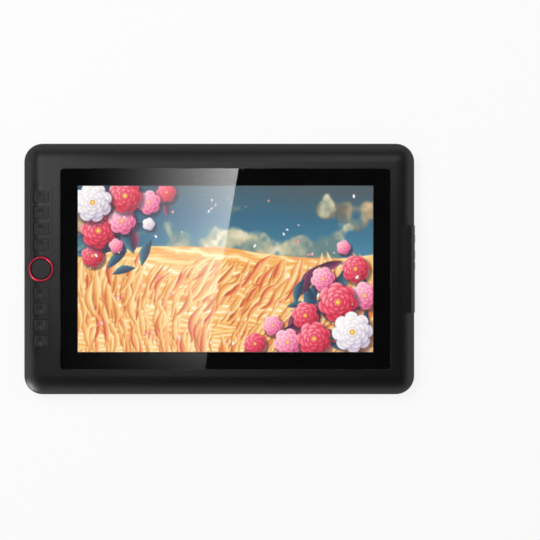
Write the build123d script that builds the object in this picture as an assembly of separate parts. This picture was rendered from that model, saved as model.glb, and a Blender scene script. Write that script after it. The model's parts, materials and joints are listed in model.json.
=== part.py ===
from build123d import *
import math
import os

os.makedirs("parts", exist_ok=True)

# A pen display that lies on its rubber feet with the screen facing up.
# Lengths are millimetres. X runs along the long side, Y up the screen, Z up from the desk.
# The shapes are drawn about the middle of the case, and write() sets them about the
# middle of the whole tablet, which the port cover and its keys make a little longer.

# Shared sizes
overrun = 1.0
seat_gap = 0.1
thread_clearance = 0.02
running_clearance = 0.05

# Screen picture and the layers under the glass
picture_length = 293.76
picture_width = 165.24
lcd_border = 4.6
lcd_thickness = 1.1
lcd_gap = 0.2
lcd_window_clearance = 1.5
diffuser_thickness = 0.6
light_guide_thickness = 1.2
light_guide_corner_radius = 1.0
reflector_thickness = 0.2
tray_thickness = 0.5
tray_lip = 0.3
sheet_clearance = 0.5
lamp_bar_width = 1.4
lamp_length = 3.0
lamp_depth = 0.6
lamp_count = 24
digitizer_thickness = 0.8
digitizer_inset = 0.5
shield_thickness = 0.4
shield_inset = 0.2

# Cover glass
glass_side_border = 17.82
glass_end_border = 17.68
glass_thickness = 1.1
glass_corner_radius = 4.0
glass_bevel = 0.2
glass_clearance = 0.3
glass_adhesive_thickness = 0.3
glass_adhesive_inset = 0.7

# Case
left_bezel = 35.7
right_bezel = 23.3
end_bezel = 24.4
front_wall = 1.8
rear_wall = 1.6
front_roll_width = 18.0
front_roll_degrees = 18.0
front_inner_edge_radius = 0.7
rear_roll_width = 8.0
rear_roll_degrees = 22.0
rear_inner_edge_radius = 0.3
corner_core_radius = 0.5
rear_parting_height = 4.6
ledge_thickness = 1.5
lip_height = 1.2
lip_thickness = 0.7
lip_clearance = 0.1

# Rubber feet
foot_length = 56.0
foot_width = 10.0
foot_proud = 1.4
foot_recess = 0.6
foot_edge_radius = 0.5

# Cover screws and their bosses
cover_boss_side_inset = 16.0
cover_boss_end_inset = 13.0
cover_boss_diameter = 6.0
cover_tube_diameter = 7.4
cover_tube_height = 2.0
cover_boss_gap = 0.1
cover_screw_diameter = 2.5
cover_screw_hole = 2.8
cover_screw_head = 4.4
cover_screw_head_height = 1.4
cover_screw_recess = 2.0
cover_screw_length = 6.5
counterbore_clearance = 0.3
cross_length_share = 0.56
cross_width_share = 0.14
side_boss_gap = 5.5

# Stiffening ribs on the rear cover's floor
rib_thickness = 1.0
rib_height = 1.0
rib_end_margin = 6.0
rib_line_shares = (-0.36, -0.24, 0.24, 0.36)
rib_cross_count = 4

# Chassis plate
chassis_thickness = 0.8
chassis_side_margin = 2.0
chassis_end_margin = 9.4
chassis_corner_radius = 3.0
chassis_boss_diameter = 5.0
chassis_boss_margin = 4.5
chassis_screw_diameter = 2.0
chassis_screw_hole = 2.3
chassis_screw_head = 3.6
chassis_screw_head_height = 0.9
chassis_screw_length = 2.6
chassis_screw_place_shares = (-0.36, -0.12, 0.12, 0.36)
chassis_bead_width = 5.0
chassis_bead_share = 0.42
chassis_bead_count = 5

# Boards
board_thickness = 0.8
board_corner_radius = 1.5
chip_height = 1.2
chip_clearance = 0.2
standoff_diameter = 4.0
board_screw_diameter = 1.6
board_screw_hole = 1.8
board_screw_head = 3.0
board_screw_head_height = 0.7
board_screw_reach = 1.0
main_board_length = 120.0
main_board_width = 60.0
main_board_margin = 11.0
main_board_hole_inset = 4.0
chip_sizes = (14.0, 9.0, 10.0, 7.0)
chip_place_shares = ((-0.30, -0.20), (-0.08, 0.24), (0.10, -0.26), (0.36, 0.10))
can_length = 30.0
can_width = 22.0
can_wall = 0.2
can_length_share = 0.12
can_width_share = 0.12

# Flat cables and their connectors
cable_thickness = 0.2
cable_bend_radius = 0.5
board_cable_width = 12.0
board_cable_standoff_gap = 1.0
display_cable_width = 40.0
display_cable_share = -0.20
digitizer_cable_width = 24.0
digitizer_cable_share = 0.20
cable_grip = 2.0
connector_depth = 4.0
connector_margin = 1.0
connector_height = 0.7
connector_air = 0.1
connector_slot_clearance = 0.05

# Key column
key_column_inset = 17.2
key_count = 4
key_spacing = 3.0
dial_key_land = 4.2
key_length = 14.5
key_width = 10.6
key_corner_radius = 1.7
key_gap = 0.75
key_proud = 0.25
key_travel = 0.5
key_dish_diameter = 9.0
key_dish_depth = 0.5
key_wall = 1.3
key_roof = 1.3
key_stem_diameter = 4.0
key_stem_reach = 0.2
key_flange = 0.45
key_flange_gap = 0.15
key_dot_diameter = 1.4
key_dot_height = 0.25
key_dot_round_share = 0.8
dotted_keys = (2, 3, 6, 7)

# Key surround and the well that carries it
surround_end_land = 3.75
surround_corner_radius = 4.0
surround_dial_land = 2.0
surround_blend_radius = 3.0
surround_thickness = 1.4
surround_clearance = 0.3
well_ledge = 1.2
well_room = 0.7
well_wall = 1.0
well_depth = 5.0
well_bar_clearance = 0.5
peg_diameter = 1.2
peg_clearance = 0.1
peg_head_diameter = 2.0
peg_head_height = 0.4

# Key switches
switch_size = 6.0
switch_height = 3.2
switch_bevel = 0.3
plunger_diameter = 3.5
plunger_clearance = 0.1
plunger_reach = 0.9
plunger_depth = 1.2
plunger_spare = 0.2
key_board_margin = 1.7
key_board_end_margin = 3.5
key_board_hole_gap = 5.5
key_board_connector_gap = 0.7

# Dial
dial_ring_outer_diameter = 26.0
dial_ring_width = 3.0
dial_ring_proud = 1.0
dial_ring_round = 1.4
dial_hole_clearance = 0.3
dial_base_inset = 0.4
dial_base_thickness = 1.0
dial_disc_clearance = 0.3
dial_disc_bevel = 0.3
dial_hub_diameter = 10.0
dial_hub_gap = 0.3
dial_hub_height = 1.1
dial_shaft_diameter = 6.0
dial_shaft_flat = 0.8
dial_shaft_rise = 0.5
dial_shaft_depth = 2.6
encoder_size = 16.0
encoder_height = 3.4
encoder_bevel = 0.8

# Port cover and what it holds
port_cover_proud = 0.7
port_cover_width = 14.6
port_cover_end_room = 7.0
port_cover_wall = 1.6
port_cover_edge_radius = 5.0
port_cover_foot_radius = 0.8
port_cover_lift = 0.4
port_cover_gap = 0.1
hook_reach = 3.0
hook_thickness = 1.0
hook_drop = 0.3
hook_end_margin = 5.5
port_board_boss_gap = 1.6
port_board_end_margin = 4.5
port_board_edge_gap = 0.3
port_board_hole_inset = 3.5
usb_offset = -24.0
usb_width = 8.94
usb_height = 3.2
usb_depth = 7.3
usb_wall = 0.3
usb_aperture_clearance = 0.2
usb_set_back = 0.3
usb_tongue_width = 6.69
usb_tongue_thickness = 0.7
usb_tongue_length = 4.6
usb_block_depth = 1.6
brightness_down_offset = 3.0
side_key_spacing = 1.2
side_key_names = ("power", "brightness_up", "brightness_down")
side_key_length = 8.0
side_key_height = 2.4
side_key_proud = 0.3
side_key_gap = 0.15
side_key_edge_radius = 0.25
side_key_flange = 0.9
side_key_flange_thickness = 0.8
side_key_flange_gap = 0.2
side_key_travel = 0.3
side_switch_width = 6.0
side_switch_depth = 4.7
side_plunger_diameter = 1.6
side_plunger_reach = 1.4
side_plunger_depth = 1.0
light_pipe_room = 3.1
light_pipe_diameter = 1.4
light_pipe_clearance = 0.05
light_pipe_length = 4.0

# Levels, from the desk up
case_bottom = foot_proud
floor_level = case_bottom + rear_wall
board_bottom = floor_level + chip_clearance + chip_height
board_top = board_bottom + board_thickness
chassis_bottom = board_top + connector_height + connector_air
shield_bottom = chassis_bottom + chassis_thickness
digitizer_bottom = shield_bottom + shield_thickness
tray_bottom = digitizer_bottom + digitizer_thickness
reflector_bottom = tray_bottom + tray_thickness
light_guide_bottom = reflector_bottom + reflector_thickness
diffuser_bottom = light_guide_bottom + light_guide_thickness
lcd_bottom = diffuser_bottom + diffuser_thickness
glass_bottom = lcd_bottom + lcd_thickness + lcd_gap
case_top = glass_bottom + glass_thickness
ledge_top = glass_bottom - glass_adhesive_thickness
ledge_bottom = ledge_top - ledge_thickness
parting = case_bottom + rear_parting_height
well_bottom = case_top - well_depth
cable_bottom = board_top + (connector_height - cable_thickness) / 2
cable_top = cable_bottom + cable_thickness
side_level = board_top + usb_height / 2

# Plan sizes
glass_length = picture_length + 2 * glass_side_border
glass_width = picture_width + 2 * glass_end_border
pocket_length = glass_length + 2 * glass_clearance
pocket_width = glass_width + 2 * glass_clearance
case_length = left_bezel + pocket_length + right_bezel
case_width = pocket_width + 2 * end_bezel
case_corner_radius = front_roll_width + corner_core_radius
half_length = case_length / 2
half_width = case_width / 2
screen_x = (left_bezel - right_bezel) / 2
lcd_length = picture_length + 2 * lcd_border
lcd_width = picture_width + 2 * lcd_border
tray_length = lcd_length + 2 * tray_lip
tray_width = lcd_width + 2 * tray_lip
window_length = lcd_length + 2 * lcd_window_clearance
window_width = lcd_width + 2 * lcd_window_clearance
chassis_length = window_length + 2 * chassis_side_margin
chassis_width = window_width + 2 * chassis_end_margin
key_x = key_column_inset - half_length
dial_ring_inner_diameter = dial_ring_outer_diameter - 2 * dial_ring_width
dial_base_diameter = dial_ring_outer_diameter - 2 * dial_base_inset
key_flange_reach = key_gap + key_flange
key_pitch = key_width + 2 * key_flange_reach + key_spacing
first_key_offset = dial_ring_outer_diameter / 2 + dial_hole_clearance + dial_key_land
first_key_offset += key_flange_reach + key_width / 2
key_reach = first_key_offset + (key_count - 1) * key_pitch
surround_width = key_length + 2 * (key_flange_reach + well_room + well_ledge)
surround_half_length = key_reach + key_width / 2 + key_flange_reach + well_ledge + surround_end_land
surround_dial_radius = dial_ring_outer_diameter / 2 + dial_hole_clearance + surround_dial_land
well_bar_width = key_spacing - 2 * well_bar_clearance
board_cable_y = main_board_width / 2 - main_board_hole_inset - standoff_diameter / 2
board_cable_y -= board_cable_standoff_gap + connector_margin + board_cable_width / 2
board_x = screen_x + chassis_length / 2 - main_board_margin - main_board_length / 2
port_cover_outer = half_length + port_cover_proud
port_cover_inner = port_cover_outer - port_cover_width
side_key_flange_face = port_cover_outer - port_cover_wall - side_key_flange_gap
side_key_flange_back = side_key_flange_face - side_key_flange_thickness
side_switch_face = side_key_flange_back - side_plunger_reach
side_key_half = side_key_length / 2 + side_key_flange
brightness_up_offset = brightness_down_offset + 2 * side_key_half + side_key_spacing
light_pipe_offset = brightness_up_offset + side_key_half + light_pipe_room
power_key_offset = light_pipe_offset + light_pipe_room + side_key_half
side_key_offsets = (power_key_offset, brightness_up_offset, brightness_down_offset)
port_cover_half_length = power_key_offset + side_key_half + port_cover_end_room + port_cover_wall
port_board_outer = side_key_flange_back - side_key_travel - port_board_edge_gap
port_board_inner = screen_x + chassis_length / 2 + side_boss_gap + cover_tube_diameter / 2
port_board_inner += port_board_boss_gap
port_board_half_length = port_cover_half_length - port_board_end_margin
case_shift = -(port_cover_proud + side_key_proud) / 2

front_edge_radius = front_wall + front_inner_edge_radius
rear_edge_radius = rear_wall + rear_inner_edge_radius

cover_boss_x = half_length - cover_boss_side_inset
cover_boss_y = half_width - cover_boss_end_inset
side_boss_reach = chassis_length / 2 + side_boss_gap
cover_boss_places = [(side * cover_boss_x * share, end * cover_boss_y)
                     for side in (-1, 1) for share in (1, 1 / 3) for end in (-1, 1)]
cover_boss_places += [(screen_x + side * side_boss_reach, 0) for side in (-1, 1)]
foot_places = [(side * cover_boss_x * 2 / 3, end * cover_boss_y) for side in (-1, 1) for end in (-1, 1)]
chassis_boss_y = window_width / 2 + chassis_boss_margin
chassis_boss_places = [(screen_x + share * chassis_length, end * chassis_boss_y)
                       for share in chassis_screw_place_shares for end in (-1, 1)]
main_board_holes = [(board_x + side * (main_board_length / 2 - main_board_hole_inset),
                     end * (main_board_width / 2 - main_board_hole_inset))
                    for side in (-1, 1) for end in (-1, 1)]
key_board_left = key_x - encoder_size / 2 - key_board_margin
key_board_right = key_x + encoder_size / 2 + key_board_connector_gap + connector_depth
key_board_inner_hole = (encoder_size / 2 + first_key_offset - switch_size / 2) / 2
key_board_outer_hole = key_reach + switch_size / 2 + key_board_hole_gap
key_board_half_length = key_board_outer_hole + key_board_end_margin
key_board_holes = [(key_x, end * place) for end in (-1, 1)
                   for place in (key_board_inner_hole, key_board_outer_hole)]
port_board_holes = [(port_board_inner + port_board_hole_inset,
                     end * (port_board_half_length - port_board_hole_inset)) for end in (-1, 1)]
key_places = [first_key_offset + (key_count - 1 - step) * key_pitch for step in range(key_count)]
key_places += [-place for place in reversed(key_places)]


# Drawing helpers

def slab(outline, low, high):
    """A flat outline raised from one level to another."""
    return extrude(Pos(0, 0, low) * outline, high - low)


def post(x, y, diameter, low, high):
    """A round post or hole between two levels."""
    return slab(Pos(x, y) * Circle(diameter / 2), low, high)


def plate(x, y, length, width, radius, low, high):
    """A flat plate with rounded corners."""
    return slab(Pos(x, y) * RectangleRounded(length, width, radius), low, high)


def block(x, y, length, width, low, high):
    """A flat plate with square corners."""
    return slab(Pos(x, y) * Rectangle(length, width), low, high)


def side_slab(outline, y, level, near, far):
    """An outline drawn on the right side of the case, raised outwards along X."""
    face = Plane(origin=(near, y, level), x_dir=(0, 1, 0), z_dir=(1, 0, 0))
    return extrude(face * outline, far - near)


def case_outline(inset):
    """The case's plan outline, drawn in by inset."""
    return RectangleRounded(case_length - 2 * inset, case_width - 2 * inset, case_corner_radius - inset)


def write(name, *pieces):
    """Write the solids of one sub-part, set about the middle of the whole tablet."""
    solids = [solid for piece in pieces for solid in piece.solids()]
    shape = solids[0] if len(solids) == 1 else Compound(solids)
    export_step(Pos(case_shift, 0, 0) * shape, os.path.join("parts", name + ".step"))


# The rolled edge that both shells share

front_form = {"face": case_top, "way": 1, "roll": front_roll_width,
              "edge": front_edge_radius, "angle": math.radians(front_roll_degrees)}
rear_form = {"face": case_bottom, "way": -1, "roll": rear_roll_width,
             "edge": rear_edge_radius, "angle": math.radians(rear_roll_degrees)}


def edge_section(form, inset, base, reach):
    """The section of a shell at its left edge: side wall, small arc, wide arc, flat face."""
    face, way, roll, edge, angle = form.values()
    wide = edge + (roll - edge) / math.sin(angle)
    wide_level = face - way * wide
    edge_level = wide_level + way * (wide - edge) * math.cos(angle)

    def on_edge(turn):
        level = edge_level + way * (edge - inset) * math.cos(turn)
        return (edge - (edge - inset) * math.sin(turn) - half_length, 0, level)

    def on_roll(turn):
        level = wide_level + way * (wide - inset) * math.cos(turn)
        return (roll - (wide - inset) * math.sin(turn) - half_length, 0, level)

    wall_foot = (inset - half_length, 0, base)
    face_end = (reach - half_length, 0, face - way * inset)
    face_foot = (reach - half_length, 0, base)
    quarter = math.pi / 2
    lines = [Line(wall_foot, on_edge(quarter)),
             ThreePointArc(on_edge(quarter), on_edge((quarter + angle) / 2), on_edge(angle)),
             ThreePointArc(on_roll(angle), on_roll(angle / 2), on_roll(0))]
    if reach > roll:
        lines.append(Line(on_roll(0), face_end))
    lines += [Line(face_end, face_foot), Line(face_foot, wall_foot)]
    return make_face(lines)


def outline_path():
    """The closed path round the case that the edge section follows."""
    x = half_length
    y = half_width
    r = case_corner_radius
    near = r * (1 - math.sqrt(0.5))

    def corner(side, end, flip):
        start = (side * x, end * (y - r), 0)
        middle = (side * (x - near), end * (y - near), 0)
        stop = (side * (x - r), end * y, 0)
        return ThreePointArc(stop, middle, start) if flip else ThreePointArc(start, middle, stop)

    return Wire([Line((-x, 0, 0), (-x, y - r, 0)), corner(-1, 1, False),
                 Line((r - x, y, 0), (x - r, y, 0)), corner(1, 1, True),
                 Line((x, y - r, 0), (x, r - y, 0)), corner(1, -1, False),
                 Line((x - r, -y, 0), (r - x, -y, 0)), corner(-1, -1, True),
                 Line((-x, r - y, 0), (-x, 0, 0))])


def case_form(form, inset, base):
    """The solid inside a shell's outer surface, drawn in by inset, from base to its face."""
    roll = form["roll"]
    section = edge_section(form, inset, base, roll)
    rim = sweep(section.face(), path=outline_path())
    face_level = form["face"] - form["way"] * inset
    core = slab(case_outline(roll), min(base, face_level), max(base, face_level))
    return rim + core


def key_side_form(inset, base):
    """The left side of the front cover's form alone, as far as the key surround needs it."""
    reach = key_column_inset + surround_dial_radius + well_ledge + well_wall
    section = edge_section(front_form, inset, base, reach)
    return extrude(section, surround_half_length + well_ledge + well_wall + overrun, both=True)


# Outlines that more than one piece follows

def surround_outline(grow):
    """The key surround: a rounded bar that swells round the dial, drawn out by grow."""
    bar = RectangleRounded(surround_width + 2 * grow, 2 * (surround_half_length + grow),
                           surround_corner_radius + grow)
    swell = bar + Circle(surround_dial_radius + grow)
    waist = [corner for corner in swell.vertices() if abs(corner.Y) < surround_half_length / 2]
    return Pos(key_x, 0) * fillet(waist, surround_blend_radius - grow)


def key_outline(grow):
    """One key's plan outline, drawn out by grow."""
    return RectangleRounded(key_length + 2 * grow, key_width + 2 * grow, key_corner_radius + grow)


def foot_outline(grow):
    """A rubber foot's plan outline, drawn out by grow."""
    return SlotOverall(foot_length + 2 * grow, foot_width + 2 * grow)


def port_cover_envelope(inset):
    """The port cover's outer form, drawn in by inset and open to the case."""
    top = case_top - inset
    outer = port_cover_outer - inset
    low = floor_level + port_cover_lift
    inner = port_cover_inner
    if inset > 0:
        low -= overrun
        inner -= overrun
    radius = port_cover_edge_radius - inset
    turn = math.sqrt(0.5) * radius
    lines = [Line((inner, 0, low), (inner, 0, top)),
             Line((inner, 0, top), (outer - radius, 0, top)),
             ThreePointArc((outer - radius, 0, top), (outer - radius + turn, 0, top - radius + turn),
                           (outer, 0, top - radius)),
             Line((outer, 0, top - radius), (outer, 0, low)),
             Line((outer, 0, low), (inner, 0, low))]
    return extrude(make_face(lines), port_cover_half_length - inset, both=True)


def well_bars():
    """Bars across the key well, between one key and the next, that take the surround's pegs."""
    bars = Part()
    for y in peg_places():
        bars += block(key_x, y, surround_width - 2 * well_ledge + overrun, well_bar_width, well_bottom,
                      case_top)
    return bars


def peg_places():
    """Where the surround's pegs stand: half way between neighbouring keys."""
    middles = [first_key_offset + (step + 1 / 2) * key_pitch for step in range(key_count - 1)]
    return [end * middle for end in (-1, 1) for middle in middles]


# Shells

def front_cover():
    """The moulded front frame: rolled edge, glass pocket, key well, screw bosses, joint lip."""
    shell = case_form(front_form, 0, parting) - case_form(front_form, front_wall, parting - overrun)
    lip_inset = front_wall - lip_clearance
    lip = case_outline(lip_inset - lip_thickness) - case_outline(lip_inset)
    shell += slab(lip, parting - lip_height, parting + lip_height)

    shell += plate(screen_x, 0, pocket_length + 2 * front_wall, pocket_width + 2 * front_wall,
                   glass_corner_radius + front_wall, ledge_bottom, glass_bottom + glass_thickness / 2)
    shell += slab(surround_outline(well_wall), well_bottom, case_top) & key_side_form(0, well_bottom)

    for x, y in cover_boss_places:
        shell += post(x, y, cover_boss_diameter, boss_bottom(), case_top - front_wall / 2 - seat_gap)
    for x, y in chassis_boss_places:
        shell += post(x, y, chassis_boss_diameter, shield_bottom, ledge_bottom + ledge_thickness / 2)

    shell -= plate(screen_x, 0, pocket_length, pocket_width, glass_corner_radius + glass_clearance,
                   ledge_top, case_top + overrun)
    shell -= plate(screen_x, 0, window_length, window_width, glass_clearance, shield_bottom, case_top)
    shell -= slab(surround_outline(surround_clearance), well_bottom, case_top + overrun) \
        - key_side_form(surround_thickness, well_bottom - overrun)
    shell -= slab(surround_outline(-well_ledge), well_bottom - overrun, case_top + overrun)
    shell += well_bars() & key_side_form(surround_thickness, well_bottom)
    for y in peg_places():
        shell -= post(key_x, y, peg_diameter + 2 * peg_clearance, well_bottom - overrun, case_top)

    for x, y in cover_boss_places:
        shell -= post(x, y, cover_screw_diameter + 2 * thread_clearance, boss_bottom() - overrun,
                      cover_screw_seat() + cover_screw_length + thread_clearance)
    for x, y in chassis_boss_places:
        shell -= post(x, y, chassis_screw_diameter + 2 * thread_clearance, shield_bottom - overrun,
                      chassis_bottom + chassis_screw_length + thread_clearance)
    notch_inner = port_cover_inner - port_cover_gap
    notch_length = 2 * (port_cover_half_length + port_cover_gap)
    shell -= block(notch_inner + port_cover_width / 2 + overrun, 0, port_cover_width + 2 * overrun,
                   notch_length, parting - lip_height - overrun, case_top + overrun)
    return shell


def cover_screw_seat():
    """The level on which a cover screw's head bears."""
    return case_bottom + cover_screw_recess


def boss_bottom():
    """The level where a front boss meets the rear cover's screw tube."""
    return floor_level + cover_tube_height + cover_boss_gap


def floor_ribs():
    """A low grid of ribs: lines along the cover, tied by cross ribs left of the main board."""
    low = floor_level - rear_wall / 2
    top = floor_level + rib_height
    line_length = chassis_length - 2 * rib_end_margin
    ribs = Part()
    for share in rib_line_shares:
        ribs += block(screen_x, share * chassis_width, line_length, rib_thickness, low, top)
    left = screen_x - line_length / 2 + rib_thickness / 2
    pitch = (board_x - main_board_length / 2 - left) / rib_cross_count
    cross_length = 2 * rib_line_shares[-1] * chassis_width
    for step in range(rib_cross_count):
        ribs += block(left + step * pitch, 0, rib_thickness, cross_length, low, top)
    return ribs


def rear_cover():
    """The moulded back: rolled edge, rabbet for the lip, ribs, screw tubes, foot recesses."""
    shell = case_form(rear_form, 0, parting) - case_form(rear_form, rear_wall, parting + overrun)
    shell += floor_ribs()
    tube_top = floor_level + cover_tube_height
    for x, y in cover_boss_places:
        shell += post(x, y, cover_tube_diameter, case_bottom + rear_wall / 2, tube_top)
    for x, y in key_board_holes + port_board_holes:
        shell += post(x, y, standoff_diameter, floor_level - rear_wall / 2, board_bottom)

    rabbet_inset = front_wall - lip_thickness - 2 * lip_clearance
    rabbet = case_outline(rabbet_inset) - case_outline(rear_wall + overrun)
    shell -= slab(rabbet, parting - lip_height - lip_clearance, parting + overrun)
    for x, y in cover_boss_places:
        shell -= post(x, y, cover_screw_head + 2 * counterbore_clearance, case_bottom - overrun,
                      cover_screw_seat())
        shell -= post(x, y, cover_screw_hole, case_bottom, tube_top + overrun)
    for x, y in foot_places:
        shell -= slab(Pos(x, y) * foot_outline(seat_gap), case_bottom - overrun, case_bottom + foot_recess)
    for x, y in key_board_holes + port_board_holes:
        shell -= post(x, y, board_screw_diameter + 2 * thread_clearance,
                      board_bottom - board_screw_reach - thread_clearance, board_bottom + overrun)
    notch_inner = port_cover_inner - port_cover_gap
    shell -= block(notch_inner + port_cover_width / 2 + overrun, 0, port_cover_width + 2 * overrun,
                   2 * (port_cover_half_length + port_cover_gap),
                   floor_level + port_cover_lift - port_cover_gap, parting + overrun)
    return shell


def rubber_feet():
    """Four long rubber feet with rounded edges, set into recesses in the rear cover."""
    feet = []
    for x, y in foot_places:
        foot = slab(Pos(x, y) * foot_outline(0), 0, case_bottom + foot_recess)
        feet.append(fillet(foot.faces().sort_by(Axis.Z)[0].edges(), foot_edge_radius))
    return feet


def screw(x, y, way, seat, diameter, length, head_diameter, head_height):
    """A screw whose shank runs from its seat in the given way along Z."""
    top = seat - way * head_height
    tip = seat + way * length
    return post(x, y, diameter, min(seat, tip), max(seat, tip)) \
        + post(x, y, head_diameter, min(seat, top), max(seat, top))


def cross_recess(x, y, head_diameter, low, high):
    """The cross that a driver turns a screw by."""
    arm = head_diameter * cross_length_share
    width = head_diameter * cross_width_share
    return block(x, y, arm, width, low, high) + block(x, y, width, arm, low, high)


def cover_screws():
    """The screws that hold the rear cover to the front cover's bosses."""
    seat = cover_screw_seat()
    head_face = seat - cover_screw_head_height
    screws = []
    for x, y in cover_boss_places:
        body = screw(x, y, 1, seat, cover_screw_diameter, cover_screw_length, cover_screw_head,
                     cover_screw_head_height)
        screws.append(body - cross_recess(x, y, cover_screw_head, head_face - overrun,
                                          head_face + cover_screw_head_height / 2))
    return screws


# Screen stack

def cover_glass():
    """The toughened glass with its polished bevel."""
    glass = plate(screen_x, 0, glass_length, glass_width, glass_corner_radius, glass_bottom, case_top)
    return chamfer(glass.faces().sort_by(Axis.Z)[-1].edges(), glass_bevel)


def glass_adhesive():
    """The adhesive frame between the glass and its ledge."""
    frame = plate(screen_x, 0, glass_length - glass_adhesive_inset, glass_width - glass_adhesive_inset,
                  glass_corner_radius, ledge_top, glass_bottom)
    return frame - plate(screen_x, 0, window_length + glass_adhesive_inset,
                         window_width + glass_adhesive_inset, glass_clearance, ledge_top, glass_bottom)


def lcd_panel():
    """The liquid crystal cell, which rests on the tray's rim."""
    return block(screen_x, 0, lcd_length, lcd_width, lcd_bottom, lcd_bottom + lcd_thickness)


def sheet_stack(low, high, lower_inset):
    """A sheet that lies inside the tray, held back at its lower edge by lower_inset."""
    inside_length = tray_length - 2 * tray_thickness - sheet_clearance
    inside_width = tray_width - 2 * tray_thickness - sheet_clearance
    return plate(screen_x, lower_inset / 2, inside_length, inside_width - lower_inset,
                 light_guide_corner_radius, low, high)


def backlight_tray():
    """The pressed tray that holds the backlight: a floor with an upright rim."""
    tray = block(screen_x, 0, tray_length, tray_width, tray_bottom, lcd_bottom)
    return tray - block(screen_x, 0, tray_length - 2 * tray_thickness, tray_width - 2 * tray_thickness,
                        reflector_bottom, lcd_bottom + overrun)


def lamp_bar():
    """The lamp strip along the tray's lower edge, with its lamps facing the light guide."""
    length = tray_length - 2 * tray_thickness - sheet_clearance
    edge = sheet_clearance / 2 - tray_width / 2 + tray_thickness
    bar = block(screen_x, edge + lamp_bar_width / 2, length, lamp_bar_width, light_guide_bottom,
                diffuser_bottom)
    pitch = length / lamp_count
    lamp_y = edge + lamp_bar_width + lamp_depth / 2
    for step in range(lamp_count):
        x = screen_x + (step - (lamp_count - 1) / 2) * pitch
        bar += block(x, lamp_y, lamp_length, lamp_depth, light_guide_bottom, diffuser_bottom)
    return bar


def digitizer_board():
    """The pen sensing board under the backlight."""
    return block(screen_x, 0, tray_length - 2 * digitizer_inset, tray_width - 2 * digitizer_inset,
                 digitizer_bottom, tray_bottom)


def shield_plate():
    """The magnetic shield under the digitizer."""
    return block(screen_x, 0, tray_length - 2 * shield_inset, tray_width - 2 * shield_inset,
                 shield_bottom, digitizer_bottom)


def chassis_plate():
    """The pressed plate that clamps the screen stack and carries the main board."""
    body = plate(screen_x, 0, chassis_length, chassis_width, chassis_corner_radius,
                 chassis_bottom, shield_bottom)
    for x, y in main_board_holes:
        body += post(x, y, standoff_diameter, board_top, shield_bottom)
    for x, y in main_board_holes:
        body -= post(x, y, board_screw_diameter + 2 * thread_clearance, board_top - overrun,
                     board_top + board_screw_reach + thread_clearance)
    for x, y in chassis_boss_places:
        body -= post(x, y, chassis_screw_hole, chassis_bottom - overrun, shield_bottom + overrun)
    slot_width = lcd_window_clearance + 2 * cable_thickness
    for share, width, end in ((display_cable_share, display_cable_width, -1),
                              (digitizer_cable_share, digitizer_cable_width, 1)):
        x = board_x + share * main_board_length
        body -= plate(x, end * cable_fall(), width + slot_width, slot_width, cable_thickness,
                      chassis_bottom - overrun, shield_bottom + overrun)
    pitch = (chassis_length - main_board_margin - main_board_length) / (chassis_bead_count + 1)
    for step in range(chassis_bead_count):
        x = screen_x - chassis_length / 2 + (step + 1) * pitch
        slot = SlotOverall(chassis_width * chassis_bead_share, chassis_bead_width)
        body -= slab(Pos(x, 0) * Rot(0, 0, 90) * slot, chassis_bottom - overrun, shield_bottom + overrun)
    return body


def chassis_screws():
    """The screws that clamp the chassis plate to the front cover."""
    return [screw(x, y, 1, chassis_bottom, chassis_screw_diameter, chassis_screw_length,
                  chassis_screw_head, chassis_screw_head_height) for x, y in chassis_boss_places]


# Boards, chips and cables

def drilled_board(x, length, width, holes):
    """A circuit board with its screw holes."""
    board = plate(x, 0, length, width, board_corner_radius, board_bottom, board_top)
    for hole_x, hole_y in holes:
        board -= post(hole_x, hole_y, board_screw_hole, board_bottom - overrun, board_top + overrun)
    return board


def main_board():
    return drilled_board(board_x, main_board_length, main_board_width, main_board_holes)


def key_board():
    return drilled_board((key_board_left + key_board_right) / 2, key_board_right - key_board_left,
                         2 * key_board_half_length, key_board_holes)


def port_board():
    return drilled_board((port_board_inner + port_board_outer) / 2, port_board_outer - port_board_inner,
                         2 * port_board_half_length, port_board_holes)


def main_board_chips():
    """The chips on the main board's underside."""
    chips = []
    for size, (length_share, width_share) in zip(chip_sizes, chip_place_shares):
        x = board_x + length_share * main_board_length
        y = width_share * main_board_width
        chips.append(block(x, y, size, size, board_bottom - chip_height, board_bottom))
    return chips


def shield_can():
    """The pressed can over the radio-noisy part of the main board."""
    x = board_x + can_length_share * main_board_length
    y = can_width_share * main_board_width
    can = plate(x, y, can_length, can_width, board_corner_radius, board_bottom - chip_height, board_bottom)
    return can - block(x, y, can_length - 2 * can_wall, can_width - 2 * can_wall,
                       board_bottom - chip_height + can_wall, board_bottom + overrun)


def board_screws():
    """The board screws: up into the chassis, and down into the rear cover."""
    places = [(x, y, 1, board_bottom) for x, y in main_board_holes]
    places += [(x, y, -1, board_top) for x, y in key_board_holes + port_board_holes]
    return [screw(x, y, way, seat, board_screw_diameter, board_thickness + board_screw_reach,
                  board_screw_head, board_screw_head_height) for x, y, way, seat in places]


def cable_fall():
    """How far from the middle a flat cable falls, between the tray and the window's edge."""
    return (tray_width + window_width) / 4


def cable_section(start, start_level):
    """A flat cable's section: out from a board's edge, down past the tray, back to the main board."""
    level = (cable_bottom + cable_top) / 2
    stop = main_board_width / 2 - cable_grip
    route = [(start, start_level), (cable_fall(), start_level), (cable_fall(), level), (stop, level)]
    bend = min(cable_bend_radius, (cable_fall() - start) / 2)
    return trace(FilletPolyline(*route, radius=bend), cable_thickness)


def folded_cable(share, width, end, start, start_level):
    """A flat cable of a given width from the screen stack to the main board."""
    x = board_x + share * main_board_length
    across = Plane(origin=(x - end * width / 2, 0, 0), x_dir=(0, end, 0), z_dir=(end, 0, 0))
    return extrude(across * cable_section(start, start_level), width)


def display_cable():
    return folded_cable(display_cable_share, display_cable_width, -1, lcd_width / 2,
                        lcd_bottom + lcd_thickness / 2)


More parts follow.
